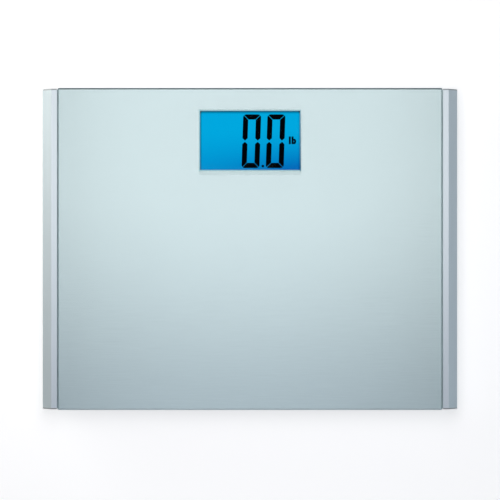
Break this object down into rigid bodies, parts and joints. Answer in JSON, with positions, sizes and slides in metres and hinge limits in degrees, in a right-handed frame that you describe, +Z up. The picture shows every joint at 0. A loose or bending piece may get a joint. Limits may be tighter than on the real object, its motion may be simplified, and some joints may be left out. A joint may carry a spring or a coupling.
{
  "type": "digital bathroom scale",
  "caption": "Glass-topped digital bathroom scale with aluminium side rails, a large blue backlit display under the glass, sensing feet and a battery bay.",
  "frame": {"origin": "on the floor under the middle of the scale, with the feet's rubber pads standing on z = 0", "axes": "+X across the width, from the left rail to the right rail; +Y towards the side with the display; +Z up out of the glass"},
  "size_m": [0.394, 0.305, 0.027],
  "materials": {
    "glass": "clear tempered glass with ground and polished edges",
    "silver_film": "brushed silver film bonded under the glass",
    "foam_tape": "black double-sided foam tape",
    "shell_plastic": "light grey moulded ABS, fine spark texture",
    "rail_aluminium": "extruded, bead blasted and clear anodised",
    "cap_plastic": "moulded ABS painted silver",
    "display_frame": "white moulded ABS",
    "display_glass": "blue backlit liquid crystal glass",
    "diffuser": "translucent diffusing film",
    "light_guide": "clear acrylic",
    "reflector": "white reflector film",
    "led": "white light emitting diodes with yellow phosphor",
    "zebra": "striped conductive silicone",
    "circuit_board": "green solder mask on glass epoxy",
    "black_epoxy": "black potting over the chip",
    "small_parts": "surface mounted resistors and capacitors",
    "switch_black": "black nylon",
    "white_plug": "natural nylon connector",
    "button_plastic": "dark grey moulded ABS",
    "battery_jacket": "printed sleeve on a steel can",
    "contact_metal": "nickel plated spring steel",
    "door_plastic": "light grey moulded ABS, fine spark texture",
    "cup_plastic": "dark grey moulded ABS",
    "retainer_plastic": "black glass filled nylon",
    "pad_rubber": "black moulded rubber",
    "sensor_steel": "stamped and plated spring steel",
    "potting": "white silicone potting",
    "screw_steel": "zinc plated steel",
    "cable_black": "black insulated lead",
    "cable_red": "red insulated lead"
  },
  "bodies": {
    "scale_body": {"glass_platform": "glass", "backing_film": "silver_film", "bond_tape": "foam_tape", "top_chassis": "shell_plastic", "base_tray": "shell_plastic", "left_rail": "rail_aluminium", "right_rail": "rail_aluminium", "left_far_cap": "cap_plastic", "left_near_cap": "cap_plastic", "right_far_cap": "cap_plastic", "right_near_cap": "cap_plastic", "lcd_frame": "display_frame", "lcd_panel": "display_glass", "diffuser_film": "diffuser", "light_guide": "light_guide", "reflector_film": "reflector", "backlight_leds": "led", "zebra_strip": "zebra", "main_pcb": "circuit_board", "chip_blob": "black_epoxy", "pcb_components": "small_parts", "unit_switch": "switch_black", "sensor_plugs": "white_plug", "battery_1": "battery_jacket", "battery_2": "battery_jacket", "battery_3": "battery_jacket", "battery_4": "battery_jacket", "battery_springs": "contact_metal", "battery_plates": "contact_metal", "gauge_covers": "potting", "negative_lead": "cable_black", "positive_lead": "cable_red", "base_screws": "screw_steel", "rail_screws": "screw_steel", "retainer_screws": "screw_steel", "board_screws": "screw_steel", "left_near_cell_retainer": "retainer_plastic", "left_near_load_cell": "sensor_steel", "left_near_cable": "cable_black", "right_near_cell_retainer": "retainer_plastic", "right_near_load_cell": "sensor_steel", "right_near_cable": "cable_black", "left_far_cell_retainer": "retainer_plastic", "left_far_load_cell": "sensor_steel", "left_far_cable": "cable_black", "right_far_cell_retainer": "retainer_plastic", "right_far_load_cell": "sensor_steel", "right_far_cable": "cable_black"},
    "unit_button": {"unit_button": "button_plastic", "switch_plunger": "button_plastic"},
    "battery_door": {"battery_door": "door_plastic"},
    "left_near_foot": {"left_near_foot_pad": "pad_rubber", "left_near_foot_cup": "cup_plastic"},
    "right_near_foot": {"right_near_foot_pad": "pad_rubber", "right_near_foot_cup": "cup_plastic"},
    "left_far_foot": {"left_far_foot_pad": "pad_rubber", "left_far_foot_cup": "cup_plastic"},
    "right_far_foot": {"right_far_foot_pad": "pad_rubber", "right_far_foot_cup": "cup_plastic"}
  },
  "joints": [
    {"name": "left_near_foot_press", "type": "slide", "parent": "scale_body", "child": "left_near_foot", "axis": [0, 0, 1], "range_m": [0, 0.0005], "stiffness_N_per_m": 500, "springref_m": -0.017, "deforming": ["left_near_load_cell"]},
    {"name": "right_near_foot_press", "type": "slide", "parent": "scale_body", "child": "right_near_foot", "axis": [0, 0, 1], "range_m": [0, 0.0005], "stiffness_N_per_m": 500, "springref_m": -0.017, "deforming": ["right_near_load_cell"]},
    {"name": "left_far_foot_press", "type": "slide", "parent": "scale_body", "child": "left_far_foot", "axis": [0, 0, 1], "range_m": [0, 0.0005], "stiffness_N_per_m": 500, "springref_m": -0.017, "deforming": ["left_far_load_cell"]},
    {"name": "right_far_foot_press", "type": "slide", "parent": "scale_body", "child": "right_far_foot", "axis": [0, 0, 1], "range_m": [0, 0.0005], "stiffness_N_per_m": 500, "springref_m": -0.017, "deforming": ["right_far_load_cell"]},
    {"name": "unit_button_press", "type": "slide", "parent": "scale_body", "child": "unit_button", "axis": [0, 0, 1], "range_m": [0, 0.0006], "stiffness_N_per_m": 300, "springref_m": -0.0004},
    {"name": "battery_door_hinge", "type": "hinge", "parent": "scale_body", "child": "battery_door", "pos_m": [0, 0.02165, 0.007], "axis": [1, 0, 0], "range_deg": [0, 75]}
  ]
}
